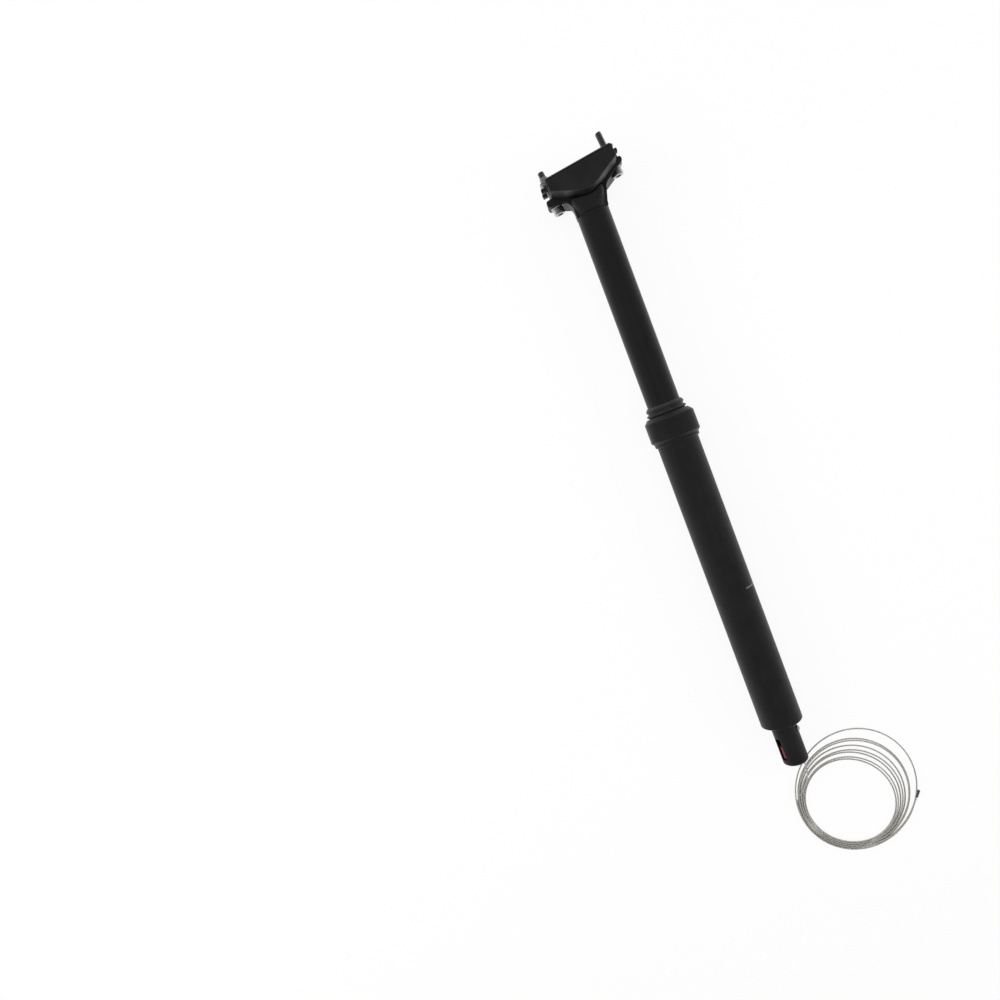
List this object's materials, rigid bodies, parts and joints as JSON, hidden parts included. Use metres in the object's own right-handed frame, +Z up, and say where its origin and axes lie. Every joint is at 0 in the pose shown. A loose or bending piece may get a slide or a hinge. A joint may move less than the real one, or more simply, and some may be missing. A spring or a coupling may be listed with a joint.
{
  "type": "dropper seatpost",
  "caption": "Dropper seatpost lying on its side, with a sliding inner tube, a bolted saddle-rail clamp, a gas spring, a base lever and a coil of inner cable.",
  "frame": {"origin": "on the ground under the middle of the post's length, where the post rests on its side", "axes": "+X along the post towards the saddle clamp (the axis leans up by 1.51 degrees, because the clamp is wider than the tube), +Y towards the front of the saddle, +Z up from the ground"},
  "size_m": [0.5931, 0.1197, 0.0545],
  "materials": {
    "outer_anodised": "satin black anodised",
    "stanchion_anodised": "smooth black anodised",
    "collar_anodised": "satin black anodised",
    "clamp_anodised": "satin black anodised",
    "lever_anodised": "satin red anodised",
    "bolt_steel": "dull grey steel",
    "nut_metal": "dull grey",
    "cable_steel": "bright steel wire",
    "crimp_metal": "bright",
    "ground_steel": "ground",
    "spring_metal": "machined",
    "key_brass": "machined",
    "bush_plastic": "bearing plastic",
    "seal_rubber": "matt"
  },
  "bodies": {
    "outer": {"outer_tube": "outer_anodised", "collar": "collar_anodised", "wiper_seal": "seal_rubber", "collar_oring": "seal_rubber", "upper_bushing": "bush_plastic", "base_housing": "clamp_anodised", "lever_pivot_pin": "ground_steel", "base_lock_screw": "bolt_steel", "gas_spring_rod": "ground_steel", "gas_spring_piston": "spring_metal", "piston_ring": "seal_rubber", "valve_spring": "ground_steel", "bottom_bumper": "seal_rubber", "inner_cable_run": "cable_steel", "inner_cable_coil": "cable_steel", "cable_end_crimp": "crimp_metal"},
    "slider": {"inner_tube": "stanchion_anodised", "saddle_head": "clamp_anodised", "lower_bushing": "bush_plastic", "anti_rotation_keys": "key_brass", "gas_spring_cylinder": "spring_metal", "rod_gland": "spring_metal", "gland_seal": "seal_rubber", "cylinder_cap": "spring_metal", "front_clamp_bolt": "bolt_steel", "rear_clamp_bolt": "bolt_steel", "clamp_washers": "bolt_steel"},
    "clamp": {"lower_cradle": "clamp_anodised", "upper_clamp": "clamp_anodised"},
    "front_nut": {"front_barrel_nut": "nut_metal"},
    "rear_nut": {"rear_barrel_nut": "nut_metal"},
    "lever": {"actuator_lever": "lever_anodised", "cable_barrel": "cable_steel"},
    "valve": {"valve_pin": "ground_steel"},
    "divider": {"floating_piston": "spring_metal", "floating_piston_ring": "seal_rubber"}
  },
  "joints": [
    {"name": "post_slide", "type": "slide", "parent": "outer", "child": "slider", "axis": [0.9997, 0, 0.0264], "range_m": [-0.15, 0], "stiffness_N_per_m": 200, "springref_m": 0.5},
    {"name": "clamp_tilt", "type": "hinge", "parent": "slider", "child": "clamp", "pos_m": [0.21965, -0.001, 0.02736], "axis": [-0.0264, 0, 0.9997], "range_deg": [-4.5, 10]},
    {"name": "front_nut_slide", "type": "slide", "parent": "slider", "child": "front_nut", "axis": [0.9947, 0.0993, 0.0263], "range_m": [-0.00437, 0.00197]},
    {"name": "rear_nut_slide", "type": "slide", "parent": "slider", "child": "rear_nut", "axis": [0.9947, 0.0993, 0.0263], "range_m": [-0.00197, 0.00437]},
    {"name": "lever_hinge", "type": "hinge", "parent": "outer", "child": "lever", "pos_m": [-0.23419, -0.002, 0.01536], "axis": [0.0264, 0, -0.9997], "range_deg": [0, 24.1]},
    {"name": "valve_slide", "type": "slide", "parent": "outer", "child": "valve", "axis": [0.9997, 0, 0.0264], "range_m": [0, 0.00075], "stiffness_N_per_m": 400, "springref_m": -0.005, "deforming": ["inner_cable_run", "valve_spring"]},
    {"name": "divider_slide", "type": "slide", "parent": "slider", "child": "divider", "axis": [0.9997, 0, 0.0264], "range_m": [0, 0.031]}
  ],
  "couplings": [
    {"joint": "front_nut_slide", "follows": "clamp_tilt", "m_per_rad": -0.025},
    {"joint": "rear_nut_slide", "follows": "clamp_tilt", "m_per_rad": 0.025},
    {"joint": "lever_hinge", "follows": "valve_slide", "rad_per_m": 558.5},
    {"joint": "divider_slide", "follows": "post_slide", "ratio": -0.2066}
  ]
}
